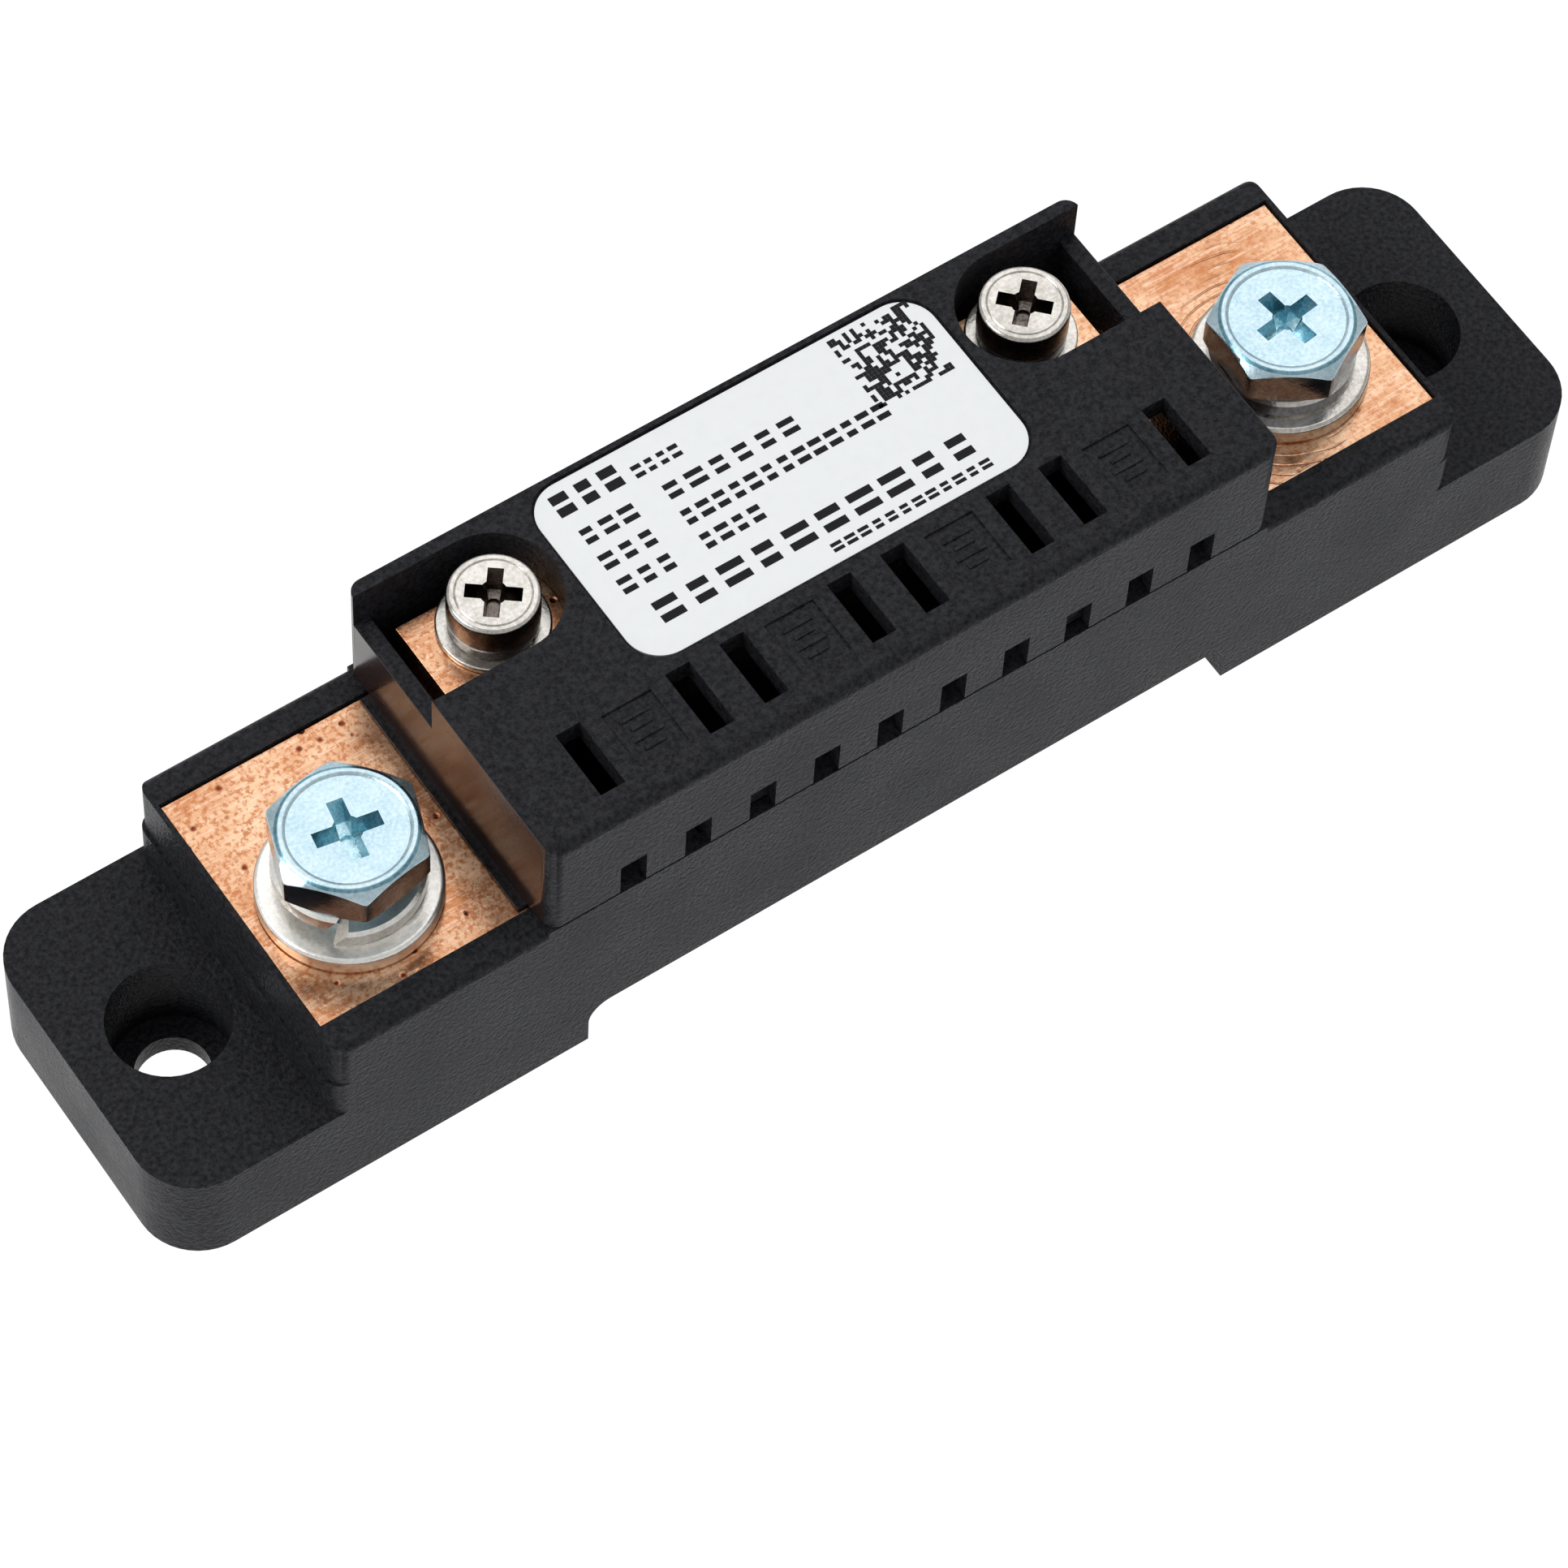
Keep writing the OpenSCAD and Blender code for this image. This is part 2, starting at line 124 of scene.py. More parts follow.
# Label: height of its face, and how far the print is sunk into it and how thick it is
LABEL_TOP = 27.85
PRINT_SINK = 0.005
PRINT_T = 0.02

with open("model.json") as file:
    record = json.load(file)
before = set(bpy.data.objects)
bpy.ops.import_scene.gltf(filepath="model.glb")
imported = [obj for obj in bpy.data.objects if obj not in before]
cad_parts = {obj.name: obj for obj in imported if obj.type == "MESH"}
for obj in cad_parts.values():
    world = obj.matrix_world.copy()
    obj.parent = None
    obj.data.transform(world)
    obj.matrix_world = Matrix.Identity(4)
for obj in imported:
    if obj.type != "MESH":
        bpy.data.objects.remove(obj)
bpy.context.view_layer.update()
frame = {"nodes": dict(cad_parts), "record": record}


# ---- Node helpers ----

def new_material(name):
    mat = bpy.data.materials.new(name)
    mat.use_nodes = True
    tree = mat.node_tree
    return mat, tree, tree.nodes["Principled BSDF"]


def set_shader(bsdf, **values):
    for socket, value in values.items():
        bsdf.inputs[socket.replace("_", " ")].default_value = value


def object_coords(tree):
    return tree.nodes.new("ShaderNodeTexCoord").outputs["Object"]


def stretched(tree, coords, scale, turn):
    """Coordinates turned about Z and stretched, for scratches that run one way."""
    node = tree.nodes.new("ShaderNodeMapping")
    node.inputs["Rotation"].default_value = (0, 0, math.radians(turn))
    node.inputs["Scale"].default_value = scale
    tree.links.new(coords, node.inputs["Vector"])
    return node.outputs["Vector"]


def noise(tree, coords, scale, detail=3.0, rough=0.5):
    node = tree.nodes.new("ShaderNodeTexNoise")
    node.inputs["Scale"].default_value = scale
    node.inputs["Detail"].default_value = detail
    node.inputs["Roughness"].default_value = rough
    tree.links.new(coords, node.inputs["Vector"])
    return node.outputs["Fac"]


def cells(tree, coords, scale):
    node = tree.nodes.new("ShaderNodeTexVoronoi")
    node.inputs["Scale"].default_value = scale
    tree.links.new(coords, node.inputs["Vector"])
    return node.outputs["Distance"]


def ramp(tree, value, low, high, low_at=0.0, high_at=1.0):
    node = tree.nodes.new("ShaderNodeMapRange")
    node.inputs["From Min"].default_value = low_at
    node.inputs["From Max"].default_value = high_at
    node.inputs["To Min"].default_value = low
    node.inputs["To Max"].default_value = high
    tree.links.new(value, node.inputs["Value"])
    return node.outputs["Result"]


def rise(tree, value, start, end):
    return ramp(tree, value, 0, 1, start, end)


def fall(tree, value, start, end):
    return ramp(tree, value, 1, 0, start, end)


def maths(tree, operation, a, b=None):
    node = tree.nodes.new("ShaderNodeMath")
    node.operation = operation
    for socket, value in zip(node.inputs, (a, b)):
        if isinstance(value, (int, float)):
            socket.default_value = value
        elif value is not None:
            tree.links.new(value, socket)
    return node.outputs["Value"]


def times(tree, a, b):
    return maths(tree, "MULTIPLY", a, b)


def blend_color(tree, amount, low, high):
    """A colour between low and high, each a colour or a socket."""
    node = tree.nodes.new("ShaderNodeMix")
    node.data_type = "RGBA"
    tree.links.new(amount, node.inputs["Factor"])
    for socket, value in ((node.inputs[6], low), (node.inputs[7], high)):
        if isinstance(value, tuple):
            socket.default_value = (*value, 1)
        else:
            tree.links.new(value, socket)
    return node.outputs[2]


def bump(tree, height, bsdf, distance, strength):
    node = tree.nodes.new("ShaderNodeBump")
    node.inputs["Strength"].default_value = strength
    node.inputs["Distance"].default_value = distance
    tree.links.new(height, node.inputs["Height"])
    tree.links.new(node.outputs["Normal"], bsdf.inputs["Normal"])


def upright(tree, coords):
    """Distance from the middle along X, and height."""
    node = tree.nodes.new("ShaderNodeSeparateXYZ")
    tree.links.new(coords, node.inputs["Vector"])
    return maths(tree, "ABSOLUTE", node.outputs["X"]), node.outputs["Z"]


def axis_distance(tree, coords, axis):
    """Distance in metres from an upright axis at (x, y) in millimetres."""
    flat = tree.nodes.new("ShaderNodeVectorMath")
    flat.operation = "MULTIPLY"
    flat.inputs[1].default_value = (1, 1, 0)
    tree.links.new(coords, flat.inputs[0])
    node = tree.nodes.new("ShaderNodeVectorMath")
    node.operation = "DISTANCE"
    node.inputs[1].default_value = (axis[0]*MM, axis[1]*MM, 0)
    tree.links.new(flat.outputs["Vector"], node.inputs[0])
    return node.outputs["Value"]


# ---- Materials ----

# Plastic: the glossy ends of the cover, with a painted reflection of the copper: above the rim, on the flat of the
# end wall
RIM_EDGE = (0.0179, 0.0182)
END_WALL_IN = (0.02998, 0.03003)
END_WALL_OUT = (0.0303, 0.0305)
END_COAT = 0.73

# Copper: distances from the right bolt over which the marks of the left pad set in, the turned rings around that
# bolt, and the part beneath the cover where shade is painted nearly black
LEFT_PAD = (0.02, 0.05)
RING_PITCH = 0.00078
RING_WOBBLE = 0.0011
RINGS_END = (0.0105, 0.0125)
UNDER_COVER_X = (0.0270, 0.0274)
UNDER_COVER_Z = (0.0180, 0.0200)


def plastic_material():
    """Black plastic with a fine grain, glossy on the ends of the cover and painted faintly brown there as a
    reflection of the copper.
    """
    mat, tree, bsdf = new_material("moulded_plastic")
    set_shader(bsdf, IOR=1.5, Specular_IOR_Level=0.055, Coat_Roughness=0.17)
    coords = object_coords(tree)
    grain = noise(tree, coords, scale=2700, detail=2, rough=0.7)
    cloud = noise(tree, coords, scale=160)
    base = blend_color(tree, rise(tree, grain, 0.32, 0.68), (0.0090, 0.0092, 0.0108), (0.0310, 0.0316, 0.0365))
    x, z = upright(tree, coords)
    end_wall = times(tree, rise(tree, x, *END_WALL_IN), fall(tree, x, *END_WALL_OUT))
    gloss_and_copper_reflection = times(tree, rise(tree, z, *RIM_EDGE), end_wall)
    # The brown on the glossy ends of the cover is a painted reflection of the copper pads; the coat is their real
    # gloss
    tree.links.new(blend_color(tree, gloss_and_copper_reflection, base, (0.024, 0.012, 0.010)), bsdf.inputs["Base Color"])
    tree.links.new(ramp(tree, cloud, 0.24, 0.36, 0.3, 0.7), bsdf.inputs["Roughness"])
    tree.links.new(times(tree, gloss_and_copper_reflection, END_COAT), bsdf.inputs["Coat Weight"])
    bump(tree, times(tree, grain, ramp(tree, gloss_and_copper_reflection, 1, 0.25)), bsdf, distance=0.00014, strength=0.8)
    return mat


def copper_material():
    """Bare copper: clouds and scratches all over, specks and pits mostly on the left, faint rings on the right."""
    mat, tree, bsdf = new_material("bare_copper")
    set_shader(bsdf, Metallic=1.0)
    coords = object_coords(tree)
    x, z = upright(tree, coords)
    near = axis_distance(tree, coords, BOLT_AXIS["right"])

    cloud = rise(tree, noise(tree, coords, scale=260, detail=6, rough=0.6), 0.35, 0.65)
    lines = stretched(tree, coords, scale=(1, 22, 1), turn=33)
    scratch = rise(tree, noise(tree, lines, scale=260, detail=4, rough=0.6), 0.5, 0.64)
    speck = times(tree, fall(tree, noise(tree, coords, scale=2600, detail=4, rough=0.7), 0.40, 0.52),
                  ramp(tree, near, 0.55, 0.85, *LEFT_PAD))
    pits = times(tree, fall(tree, cells(tree, coords, scale=620), 0.07, 0.17), ramp(tree, near, 0.3, 1, *LEFT_PAD))
    wobble = times(tree, noise(tree, coords, scale=150, detail=2), RING_WOBBLE)
    rings = maths(tree, "SINE", times(tree, maths(tree, "ADD", near, wobble), TURN/RING_PITCH))
    ring_zone = times(tree, fall(tree, near, *RINGS_END),
                      rise(tree, noise(tree, coords, scale=170, detail=2), 0.47, 0.58))
    turned = times(tree, rise(tree, rings, 0.7, 1.0), ring_zone)
    # Painted shade: the copper beneath the cover, where little light gets in, is darkened towards black
    shade_under_cover = times(tree, fall(tree, x, *UNDER_COVER_X), fall(tree, z, *UNDER_COVER_Z))

    base = blend_color(tree, cloud, (0.51, 0.23, 0.11), (0.81, 0.53, 0.34))
    base = blend_color(tree, times(tree, scratch, 0.4), base, (0.95, 0.72, 0.56))
    base = blend_color(tree, times(tree, turned, 0.55), base, (0.50, 0.19, 0.09))
    base = blend_color(tree, speck, base, (0.44, 0.15, 0.055))
    base = blend_color(tree, pits, base, (0.20, 0.03, 0.012))
    # Painted shade on the copper beneath the cover
    base = blend_color(tree, shade_under_cover, base, (0.02, 0.012, 0.01))
    tree.links.new(base, bsdf.inputs["Base Color"])
    tree.links.new(ramp(tree, cloud, 0.17, 0.34), bsdf.inputs["Roughness"])
    height = maths(tree, "SUBTRACT", times(tree, cloud, 0.4), maths(tree, "ADD", pits, turned))
    bump(tree, height, bsdf, distance=0.00006, strength=0.7)
    return mat


def metal_material(name, dark, light, rough, scale, relief):
    """Metal with cloudy colour, fine specks and slight waves."""
    mat, tree, bsdf = new_material(name)
    set_shader(bsdf, Metallic=1.0)
    coords = object_coords(tree)
    cloud = noise(tree, coords, scale, detail=5, rough=0.6)
    speck = noise(tree, coords, scale*9, detail=3, rough=0.6)
    tree.links.new(blend_color(tree, rise(tree, maths(tree, "ADD", cloud, speck), 0.8, 1.2), dark, light),
                   bsdf.inputs["Base Color"])
    tree.links.new(ramp(tree, cloud, *rough, 0.3, 0.7), bsdf.inputs["Roughness"])
    bump(tree, maths(tree, "ADD", cloud, times(tree, speck, 0.3)), bsdf, distance=relief, strength=0.6)
    return mat


def ink_material():
    """Black ink, slightly uneven."""
    mat, tree, bsdf = new_material("print_ink")
    set_shader(bsdf, Specular_IOR_Level=0.1)
    grain = noise(tree, object_coords(tree), scale=3000)
    tree.links.new(blend_color(tree, grain, (0.0084, 0.0084, 0.0098), (0.0156, 0.0156, 0.0182)),
                   bsdf.inputs["Base Color"])
    tree.links.new(ramp(tree, grain, 0.42, 0.58), bsdf.inputs["Roughness"])
    return mat


def label_material():
    """White label with a faint fibre."""
    mat, tree, bsdf = new_material("label_paper")
    set_shader(bsdf, Specular_IOR_Level=0.4)
    fibre = noise(tree, object_coords(tree), scale=900, detail=4, rough=0.6)
    tree.links.new(blend_color(tree, fibre, (0.80, 0.82, 0.83), (0.88, 0.90, 0.90)), bsdf.inputs["Base Color"])
    tree.links.new(ramp(tree, fibre, 0.3, 0.42), bsdf.inputs["Roughness"])
    bump(tree, fibre, bsdf, distance=0.00003, strength=0.3)
    return mat


# Metals, each as (dark colour, light colour, roughness range, noise scale, relief)
METALS = {
    "blue_zinc_steel": ((0.40, 0.56, 0.64), (0.60, 0.74, 0.80), (0.22, 0.36), 420, 0.00008),
    "nickel_steel": ((0.45, 0.43, 0.395), (0.68, 0.655, 0.615), (0.16, 0.30), 380, 0.00006),
    # A dark copy of the zinc that paints shade on the flats of the hex heads and the sides of the right power spring
    # washer
    "blue_zinc_painted_shade": ((0.16, 0.16, 0.18), (0.34, 0.34, 0.36), (0.10, 0.2), 420, 0.00005),
    # A bluer zinc copy for the walls of the cross, with painted shade and highlights in the recess
    "blue_zinc_cross_shade": ((0.22, 0.42, 0.48), (0.60, 0.82, 0.90), (0.2, 0.35), 600, 0.00006),
    # A darker blue zinc copy for the top ring of the hex head, a painted dark reflection at its rim
    "blue_zinc_rim_reflection": ((0.10, 0.26, 0.34), (0.26, 0.48, 0.58), (0.15, 0.25), 420, 0.00005),
    # A lighter, rougher copy of nickel for the left power washers: the roughness is their own, the extra lightness is
    # painted light
    "nickel_painted_light": ((0.78, 0.76, 0.72), (0.97, 0.95, 0.91), (0.28, 0.40), 380, 0.00008),
    "nickel_shade": ((0.06, 0.05, 0.045), (0.20, 0.17, 0.15), (0.15, 0.3), 600, 0.00005),
    "resistance_alloy": ((0.30, 0.22, 0.17), (0.48, 0.38, 0.31), (0.42, 0.6), 500, 0.00008),
}
metals = {name: metal_material(name, *look) for name, look in METALS.items()}
zinc, nickel, washer_painted_light = metals["blue_zinc_steel"], metals["nickel_steel"], metals["nickel_painted_light"]
zinc_painted_shade, shade = metals["blue_zinc_painted_shade"], metals["nickel_shade"]
plastic = plastic_material()
ink = ink_material()
MATERIALS = {"moulded_plastic": plastic, "bare_copper": copper_material(), "label_paper": label_material(), **metals}

for part in frame["record"]["subparts"]:
    carried = frame["nodes"][part["node"]]
    carried.data.materials.clear()
    carried.data.materials.append(MATERIALS[part["material_slot"]])


# ---- Mesh helpers ----

def mesh_object(name, points, faces, mat):
    mesh = bpy.data.meshes.new(name)
    mesh.from_pydata([[c*MM for c in p] for p in points], [], faces)
    mesh.materials.append(mat)
    o = bpy.data.objects.new(name, mesh)
    bpy.context.collection.objects.link(o)
    bm = bmesh.new()
    bm.from_mesh(mesh)
    bmesh.ops.recalc_face_normals(bm, faces=bm.faces)
    bm.to_mesh(mesh)
    bm.free()
    return o


def smooth(o, angle):
    for p in o.data.polygons:
        p.use_smooth = True
    o.data.set_sharp_from_angle(angle=math.radians(angle))


def grid_faces(rows, columns, wrap):
    """Quads of a grid of rows by columns. Columns always close; rows close where wrap is true."""
    faces = []
    for i in range(rows if wrap else rows - 1):
        for j in range(columns):
            k = (j + 1) % columns
            n = (i + 1) % rows
            faces.append((i*columns + j, i*columns + k, n*columns + k, n*columns + j))
    return faces


def capped(rows, columns):
    """Faces of a closed body of rows by columns: the grid and its two end faces."""
    ends = [tuple(range(columns)), tuple(range((rows - 1)*columns, rows*columns))]
    return grid_faces(rows, columns, False) + ends


def placed(points, axis, z, turn):
    """Points turned about Z, then moved to an upright axis at height z."""
    c, s = math.cos(math.radians(turn)), math.sin(math.radians(turn))
    return [(axis[0] + c*x - s*y, axis[1] + s*x + c*y, z + h) for x, y, h in points]


def revolved(profile, columns):
    """Points of a profile of (radius, height) turned around Z."""
    return [(r*math.cos(TURN*j/columns), r*math.sin(TURN*j/columns), z) for r, z in profile for j in range(columns)]


def rounded(r, top, edge):
    """Quarter circle from the top face to the outer wall at radius r."""
    return [(r - edge + edge*math.sin(a), top - edge + edge*math.cos(a))
            for a in (math.radians(d) for d in range(0, 91, 15))]


def finish_piece(o, body, slot, *nodes):
    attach(o, body)
    if nodes:
        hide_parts(*nodes)


# ---- Washers ----

def flat_washer(name, axis, z, size, mat, body, node, columns=96):
    """A stamped washer, rounded on its upper outer edge and broken on the others."""
    r, q, t, edge = size["outer_d"]/2, size["inner_d"]/2, size["t"], size["edge"]
    low = edge/2
    profile = [(q + low, t)] + rounded(r, t, edge) + [(r, low), (r - low, 0), (q + low, 0), (q, low), (q, t - low)]
    faces = grid_faces(len(profile), columns, True)
    o = mesh_object(name, placed(revolved(profile, columns), axis, z, 0), faces, mat)
    smooth(o, WASHER_SHARP)
    finish_piece(o, body, "nickel_steel", node)


def spring_washer(name, axis, z, size, rise_h, slit_turn, slit, mats, body, node):
    """A coil of one turn with a slanted slit, higher at one end by rise_h."""
    r, q, t = size["outer_d"]/2, size["inner_d"]/2, size["t"]
    e = t*SPRING_EDGE
    section = [(q, e), (q, t - e), (q + e, t), (r - e, t), (r, t - e), (r, e), (r - e, 0), (q + e, 0)]
    mean = (r + q)/2
    opening = slit/mean
    points = []
    for i in range(SPRING_STEPS + 1):
        part = i/SPRING_STEPS
        for radius, h in section:
            lean = (h - t/2)*SPRING_SLANT/mean
            a = opening/2 + lean + part*(TURN - opening)
            points.append((radius*math.cos(a), radius*math.sin(a), h + rise_h*part))
    o = mesh_object(name, placed(points, axis, z, slit_turn), capped(SPRING_STEPS + 1, len(section)), mats[0])
    # Side faces take the second material, a darker copy that paints shade on them
    o.data.materials.append(mats[1])
    for p in o.data.polygons:
        p.material_index = int(abs(p.normal.z) < SIDE_NORMAL)
    smooth(o, WASHER_SHARP)
    finish_piece(o, body, "nickel_steel", node)


# ---- Screws ----

def hex_head(size, columns=144):
    """Hexagon chamfered above and below, with a shallow dish inside the raised ring of its top face."""
    af, face, h = size["af"], size["face_d"]/2, size["h"]
    slope = math.tan(HEX_CHAMFER)
    outline = []
    for j in range(columns):
        a = TURN*j/columns
        reach = af/2/math.cos((a % (TURN/6)) - TURN/12)
        outline.append((a, min(reach, af/math.sqrt(3)*HEX_CORNER_SHARE)))
    top = [(HEX_HUB_R, h - HEX_DROP)] + [(face - inset, h - drop) for inset, drop in HEX_FACE]
    rows = [[section]*columns for section in top]
    rows.append([(r - HEX_EDGE_IN, h - (r - face)*slope - HEX_DROP) for _, r in outline])
    rows.append([(r, h - (r - face)*slope - HEX_EDGE_DOWN) for _, r in outline])
    rows.append([(r, (r - face)*slope + HEX_FOOT) for _, r in outline])
    rows += [[(r, 0)]*columns for r in (face, HEX_HUB_R)]
    points = [(r*math.cos(a), r*math.sin(a), z) for row in rows for (a, _), (r, z) in zip(outline, row)]
    return points, capped(len(rows), columns)


def pan_head(size, columns=120):
    """Round head: nearly flat top with a faint groove, rounded rim, straight side."""
    r, h = size["head_d"]/2, size["h"]
    profile = [(PAN_HUB_R, h - PAN_HUB_DROP)] + [(r - inset, h - drop) for inset, drop in PAN_GROOVE]
    profile += rounded(r, h, PAN_EDGE) + [(r, PAN_FOOT), (r - PAN_FOOT, 0), (PAN_HUB_R, 0)]
    return revolved(profile, columns), capped(len(profile), columns)


def frustum(l0, w0, z0, l1, w1, z1):
    """Closed block from an l0 by w0 rectangle at z0 to an l1 by w1 one at z1."""
    points = [(x*l/2, y*w/2, z) for l, w, z in ((l0, w0, z0), (l1, w1, z1))
              for x, y in ((-1, -1), (1, -1), (1, 1), (-1, 1))]
    return points, capped(2, 4)


def cone(r0, z0, r1, z1, columns=40):
    return revolved([(r0, z0), (r1, z1)], columns), capped(2, columns)


def cut_away(o, cutters):
    """Cuts closed shapes out of o and keeps the result as plain mesh."""
    for points, faces in cutters:
        tool = mesh_object("cutter", points, faces, o.data.materials[0])
        modifier = o.modifiers.new("cut", "BOOLEAN")
        modifier.operation = "DIFFERENCE"
        modifier.solver = "EXACT"
        modifier.object = tool
        bpy.context.view_layer.update()
        mesh = bpy.data.meshes.new_from_object(o.evaluated_get(bpy.context.evaluated_depsgraph_get()))
        o.modifiers.clear()
        o.data = mesh
        bpy.data.objects.remove(tool)


def thread(size, columns=48, per_turn=10):
    """Shank with a helical thread, chamfered at its tip. Its first row reaches up into the head."""
    d, l, pitch = size["d"], size["l"], size["pitch"]
    rows = int(l/pitch*per_turn)
    points = []
    for i in range(rows + 1):
        z = -l*i/rows
        for j in range(columns):
            groove = 1 - abs(2*((z/pitch - j/columns) % 1) - 1)
            r = d/2 - pitch*THREAD_DEPTH*max(0.0, min(1.0, groove*THREAD_SLOPE - THREAD_CREST))
            r = min(r, d/2*TIP_SHARE + (z + l)*TIP_SLOPE)
            a = TURN*j/columns
            points.append((r*math.cos(a), r*math.sin(a), z + SHANK_OVERLAP*(i == 0)))
    return points, capped(rows + 1, columns)


def merge(o, points, faces):
    """Adds a closed shape to the mesh of o."""
    bm = bmesh.new()
    bm.from_mesh(o.data)
    fresh = [bm.verts.new([c*MM for c in p]) for p in points]
    added = [bm.faces.new([fresh[i] for i in f]) for f in faces]
    bmesh.ops.recalc_face_normals(bm, faces=added)
    bm.to_mesh(o.data)
    bm.free()


def shade_head(o, size, z, axis, mats):
    """Gives the sides of a head its second material, the walls of the cross its third and the top ring its fourth."""
    cross_r, ring_r, h = size["cross_l"]/2*MM*CROSS_REACH, size.get("face_d", 0)/2*MM, size["h"]*MM
    # Its second to fourth materials are painted shade on the sides and in the cross, and a painted reflection on the
    # ring
    for p in o.data.polygons:
        r = math.hypot(p.center.x - axis[0]*MM, p.center.y - axis[1]*MM)
        up = p.center.z - z*MM
        if r < cross_r and CROSS_LOW*h < up < CROSS_HIGH*h:
            p.material_index = 2
        elif abs(p.normal.z) < SIDE_NORMAL and up > 0:
            p.material_index = 1
        elif len(mats) > 3 and ring_r*RING_START < r < ring_r and up > h/2:
            p.material_index = 3


def screw(name, head, size, axis, z, turn, mats, body, slot, node):
    h, span, w, deep = size["h"], size["cross_l"], size["cross_w"], size["cross_depth"]
    grow = 1 + CUT_ABOVE/deep*CROSS_FLARE
    cutters = []
    # The second arm is slightly shallower, so that no two floors coincide
    for quarter, share in zip((0, 90), CROSS_DEPTHS):
        points, faces = frustum(span*grow, w*grow, h + CUT_ABOVE, span*CROSS_FLOOR_L, w*CROSS_FLOOR_W, h - deep*share)
        cutters.append((placed(points, axis, z, turn + size["cross_turn"] + quarter), faces))
    points, faces = cone(w*CONE_TOP_R, h + CUT_ABOVE*CONE_TOP_H, w*CONE_TIP_R, h - deep*CONE_TIP_H)
    cutters.append((placed(points, axis, z, turn + CONE_TURN), faces))
    points, faces = head
    o = mesh_object(name, placed(points, axis, z, turn), faces, mats[0])
    cut_away(o, cutters)
    for mat in mats[1:]:
        o.data.materials.append(mat)
    shade_head(o, size, z, axis, mats)
    points, faces = thread(size)
    merge(o, placed(points, axis, z, turn), faces)
    smooth(o, SCREW_SHARP)
    finish_piece(o, body, slot, node)


# ---- Fasteners ----

# The left power washers take the lighter nickel copy, which paints light on them; darker copies paint shade on the
# sides of the right spring washer
POWER_FLAT = {"left": washer_painted_light, "right": nickel}
POWER_SPRING = {"left": (washer_painted_light, nickel), "right": (nickel, zinc_painted_shade)}
POWER_BOLT = (zinc, zinc_painted_shade, metals["blue_zinc_cross_shade"], metals["blue_zinc_rim_reflection"])

for side in ("left", "right"):
    washers, bolt = f"{side}_terminal_washers", f"{side}_terminal_screw"
    axis = BOLT_AXIS[side]
    flat_washer(f"power_flat_washer_{side}", axis, PAD_H, BOLT_FLAT, POWER_FLAT[side], washers,
                f"terminal_flat_washer_{side}")
    spring_z = PAD_H + BOLT_FLAT["t"]
    spring_washer(f"power_spring_washer_{side}", axis, spring_z, BOLT_SPRING, BOLT_RISE[side], BOLT_SLIT[side],
                  BOLT_SLIT_W, POWER_SPRING[side], washers, f"terminal_spring_washer_{side}")
    screw(f"power_bolt_{side}", hex_head(BOLT), BOLT, axis, spring_z + BOLT_SPRING["t"] + BOLT_RISE[side],
          BOLT_TURN[side], POWER_BOLT, bolt, "blue_zinc_steel", f"terminal_bolt_{side}")

    washers, bolt = f"{side}_sense_washers", f"{side}_sense_screw"
    axis = SENSE_AXIS[side]
    flat_washer(f"signal_flat_washer_{side}", axis, POST_H, SENSE_FLAT, nickel, washers, f"sense_flat_washer_{side}")
    spring_z = POST_H + SENSE_FLAT["t"]
    spring_washer(f"signal_spring_washer_{side}", axis, spring_z, SENSE_SPRING, 0, SENSE_SLIT[side],
                  SENSE_SLIT_W, (nickel, shade), washers, f"sense_spring_washer_{side}")
    screw(f"signal_screw_{side}", pan_head(SENSE), SENSE, axis, spring_z + SENSE_SPRING["t"],
          SENSE_TURN[side], (nickel, shade, shade), bolt, "nickel_steel", f"sense_screw_{side}")


# ---- Label print: pairs of plain dashes where a maker would print, and a block of seeded squares ----

# Rows of dashes, each as (x start, y base, height, count, pitch, stroke)
PRINT_ROWS = (
    (-15.0, 9.1, 2.0, 3, 1.95, 0.62),
    (-8.7, 9.1, 1.25, 4, 1.0, 0.3),
    (-14.7, 6.4, 1.5, 3, 1.6, 0.38),
    (-8.0, 6.4, 1.5, 6, 1.9, 0.38),
    (-14.7, 4.0, 1.5, 3, 1.6, 0.38),
    (-8.0, 4.0, 1.5, 13, 1.32, 0.38),
    (-14.7, 1.7, 1.5, 3, 1.6, 0.38),
    (-8.0, 1.7, 1.5, 4, 1.32, 0.38),
    (-13.9, -1.7, 2.1, 10, 2.66, 0.54),
    (-0.8, -3.1, 0.8, 12, 1.12, 0.24),
)
DASH_LEVELS = (0.12, 0.68)
DASH_REACH = 0.38
DASH_SHARES = (0.75, 0.9, 1.0)
DASH_WEIGHT = 1.2

# The block of squares: its corner, how many to a side, their pitch, and how much of the pitch they fill
BLOCK_X, BLOCK_Y = 8.6, 5.0
BLOCK_COUNT = 21
BLOCK_PITCH = 0.315
BLOCK_FILL = 0.96


def bars(boxes, z, t):
    """Closed thin blocks, one for each (x0, y0, x1, y1)."""
    points, faces = [], []
    for x0, y0, x1, y1 in boxes:
        n = len(points)
        points += [(x, y, h) for h in (z, z + t) for x, y in ((x0, y0), (x1, y0), (x1, y1), (x0, y1))]
        faces += [tuple(n + i for i in f) for f in
                  ((0, 3, 2, 1), (4, 5, 6, 7), (0, 1, 5, 4), (1, 2, 6, 5), (2, 3, 7, 6), (3, 0, 4, 7))]
    return points, faces


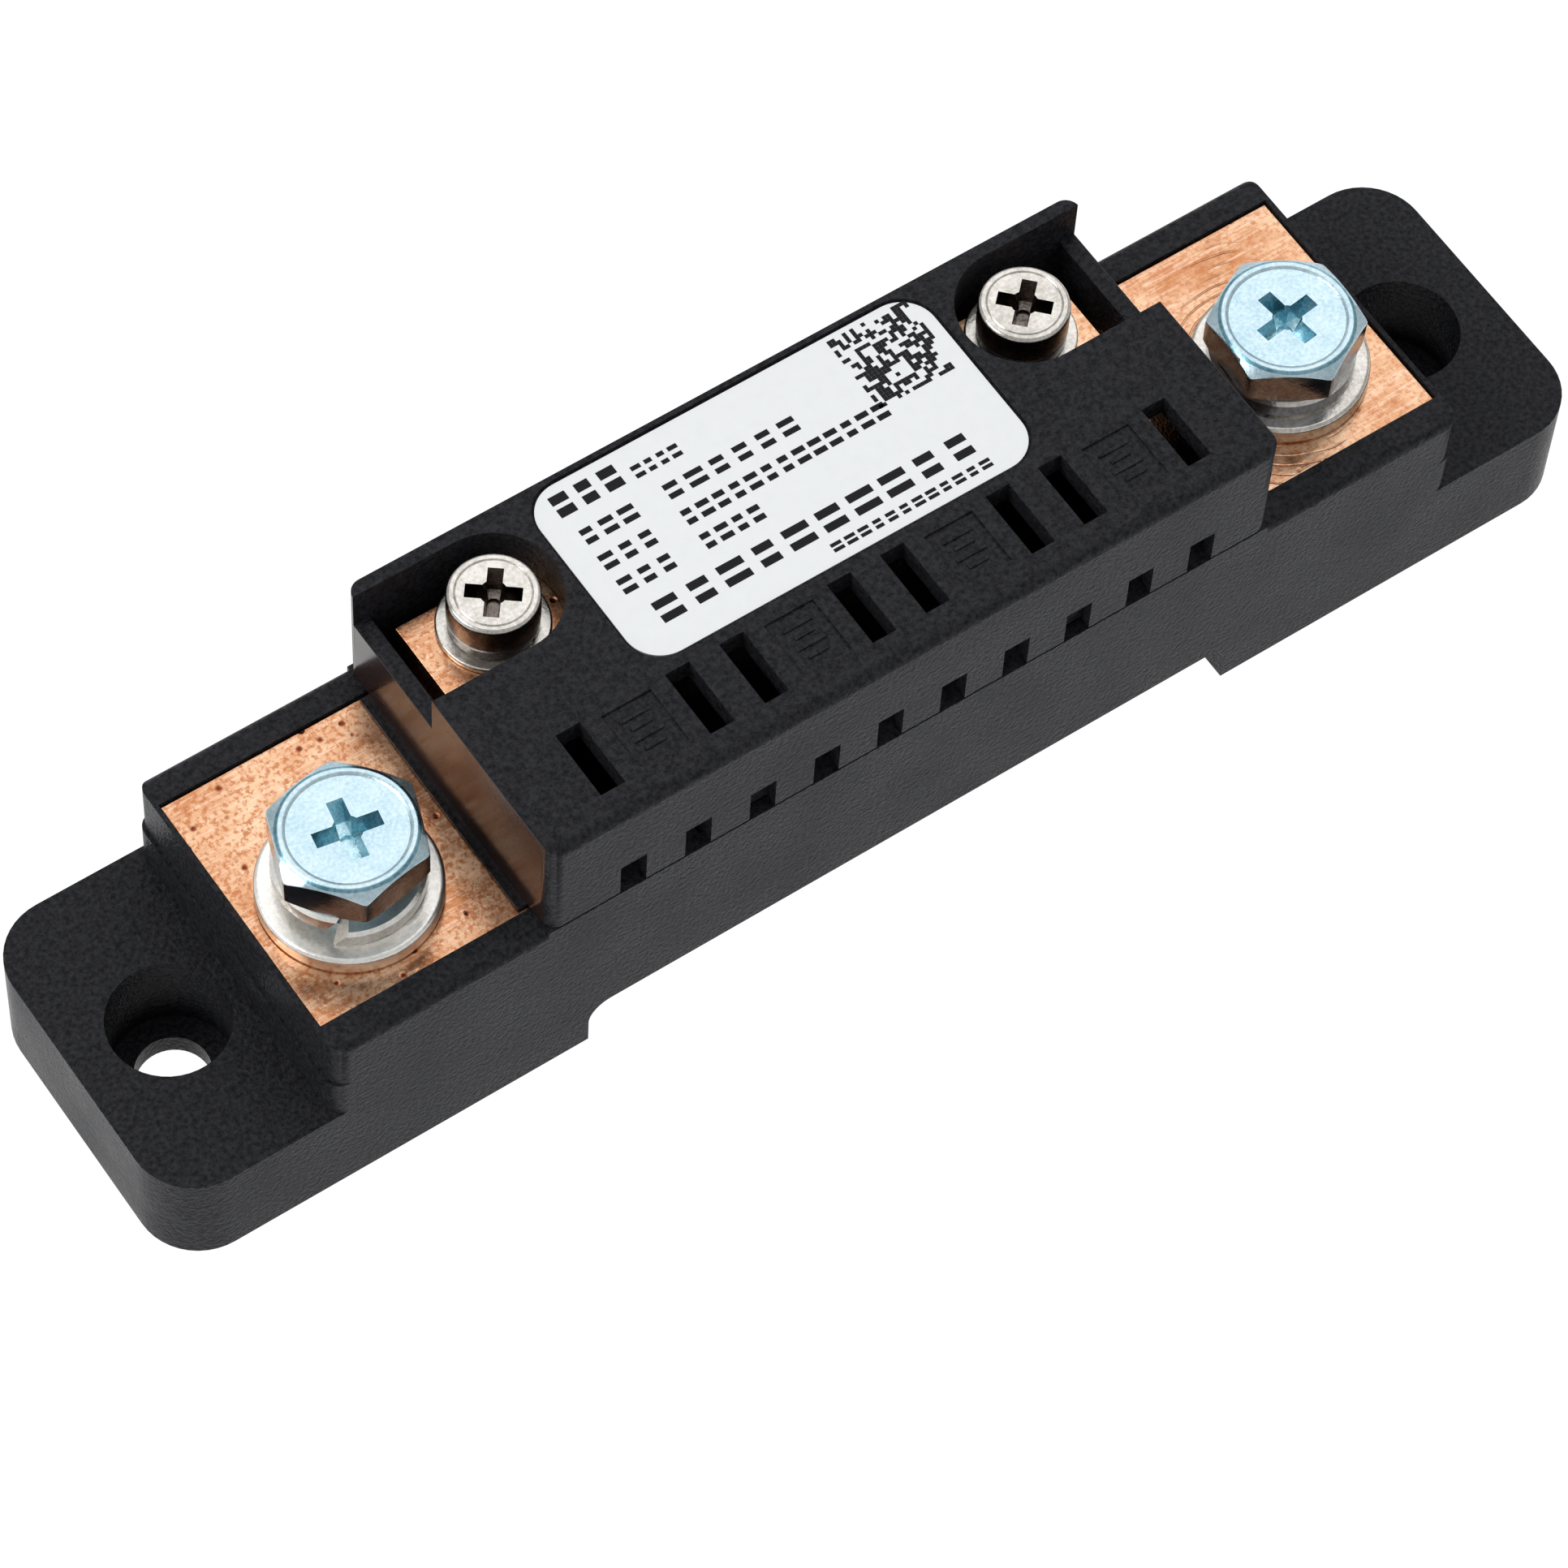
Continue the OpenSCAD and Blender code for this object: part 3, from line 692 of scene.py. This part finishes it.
def print_row(x, y, h, count, pitch, stroke):
    """A row of paired level dashes that stands for a line of print."""
    boxes = []
    for i in range(count):
        middle = x + (i + 0.5)*pitch
        reach = pitch*DASH_REACH*dice.choice(DASH_SHARES)
        for level in DASH_LEVELS:
            boxes.append((middle - reach, y + h*level, middle + reach, y + h*level + stroke*DASH_WEIGHT))
    return boxes


dice = random.Random(7)
dashes = [box for row in PRINT_ROWS for box in print_row(*row)]
print_z = LABEL_TOP - PRINT_SINK
label_print = mesh_object("label_print", *bars(dashes, print_z, PRINT_T), ink)
finish_piece(label_print, "shunt", "label_paper")

squares = []
for i in range(BLOCK_COUNT):
    for j in range(BLOCK_COUNT):
        if dice.random() < 0.5:
            x, y = BLOCK_X + i*BLOCK_PITCH, BLOCK_Y + j*BLOCK_PITCH
            squares.append((x, y, x + BLOCK_PITCH*BLOCK_FILL, y + BLOCK_PITCH*BLOCK_FILL))
block_print = mesh_object("label_block_print", *bars(squares, print_z, PRINT_T), ink)
finish_piece(block_print, "shunt", "label_paper")


# ---- Moulded marks: four plain bars in each shallow square of the cover ----

MARK_Z = 27.79
MARK_T = 0.14
MARK_W = 0.25
SQUARE_X = (-19.26, -6.12, 7.02, 20.16)
SQUARE_Y = -7.65
# Bars of one square, each as (near edge from the square's middle, half its length)
MARK_BARS = ((1.15, 1.2), (0.3, 0.8), (-0.55, 1.2), (-1.4, 0.8))

marks = [(x - half, SQUARE_Y + y, x + half, SQUARE_Y + y + MARK_W) for x in SQUARE_X for y, half in MARK_BARS]
moulded_marks = mesh_object("moulded_marks", *bars(marks, MARK_Z, MARK_T), plastic)
finish_piece(moulded_marks, "shunt", "moulded_plastic")


# ---- Rounded edges on the CAD parts ----

WELD_REACH = 0.01
FLAT_ANGLE = 0.5
ROUNDED_ANGLE = 40
FACE_WEIGHT = 100
EDGE_WIDTHS = {"base": 0.25, "cover": 0.2, "terminal_block_left": 0.15, "terminal_block_right": 0.15}


def round_edges(node, width):
    """Clears the CAD mesh's spare edges, rounds its sharp ones and keeps its flat faces evenly lit."""
    o = frame["nodes"][node]
    weld = o.modifiers.new("weld", "WELD")
    weld.merge_threshold = WELD_REACH*MM
    flat = o.modifiers.new("flat", "DECIMATE")
    flat.decimate_type = "DISSOLVE"
    flat.angle_limit = math.radians(FLAT_ANGLE)
    bevel = o.modifiers.new("bevel", "BEVEL")
    bevel.width = width*MM
    bevel.segments = 2
    bevel.limit_method = "ANGLE"
    bevel.angle_limit = math.radians(ROUNDED_ANGLE)
    bevel.harden_normals = True
    normals = o.modifiers.new("normals", "WEIGHTED_NORMAL")
    normals.weight = FACE_WEIGHT
    for p in o.data.polygons:
        p.use_smooth = True


for node, width in EDGE_WIDTHS.items():
    round_edges(node, width)


# ---- Studio ----

# Lights, each as (name, azimuth, elevation, distance in metres, size in metres, power in watts)
LIGHTS = (("sky", 142, 59, 1.2, 1.2, 4), ("key", -110, 45, 1.2, 0.5, 4.6))
WORLD_STRENGTH = 0.58
FLOOR_SIZE = 6
FLOOR_DROP = 0.05


def looking_back(azimuth, elevation):
    """Unit vector from the object towards a viewer."""
    a, e = math.radians(azimuth), math.radians(elevation)
    return Vector((math.sin(a)*math.cos(e), -math.cos(a)*math.cos(e), math.sin(e)))


def area_light(name, azimuth, elevation, distance, size, power):
    data = bpy.data.lights.new(name, "AREA")
    data.size = size
    data.energy = power
    light = bpy.data.objects.new(name, data)
    bpy.context.collection.objects.link(light)
    back = looking_back(azimuth, elevation)
    light.location = back*distance
    light.rotation_euler = back.to_track_quat("Z", "Y").to_euler()


def camera():
    back = looking_back(CAMERA_AZIMUTH, CAMERA_ELEVATION)
    data = bpy.data.cameras.new("camera")
    data.lens = CAMERA_LENS
    data.sensor_width = CAMERA_SENSOR
    cam = bpy.data.objects.new("camera", data)
    bpy.context.collection.objects.link(cam)
    cam.location = (Vector(CAMERA_TARGET) + back*CAMERA_DISTANCE)*MM
    turn = back.to_track_quat("Z", "Y").to_matrix().to_4x4() @ Matrix.Rotation(math.radians(CAMERA_ROLL), 4, "Z")
    cam.rotation_euler = turn.to_euler()
    bpy.context.scene.camera = cam


def floor():
    """White floor, just below the feet so that it doesn't share their plane."""
    bpy.ops.mesh.primitive_plane_add(size=FLOOR_SIZE, location=(0, 0, -FLOOR_DROP*MM))
    o = bpy.context.object
    o.name = "floor"
    mat, _, bsdf = new_material("floor")
    set_shader(bsdf, Base_Color=(0.02, 0.02, 0.02, 1), Roughness=0.9, Emission_Color=(1, 1, 1, 1),
               Emission_Strength=1.0)
    o.data.materials.append(mat)


camera()
floor()
for light in LIGHTS:
    area_light(*light)
world = bpy.data.worlds.new("studio")
world.use_nodes = True
background = world.node_tree.nodes["Background"]
background.inputs["Color"].default_value = (1, 1, 1, 1)
background.inputs["Strength"].default_value = WORLD_STRENGTH
bpy.context.scene.world = world
bpy.context.scene.view_settings.view_transform = "Standard"
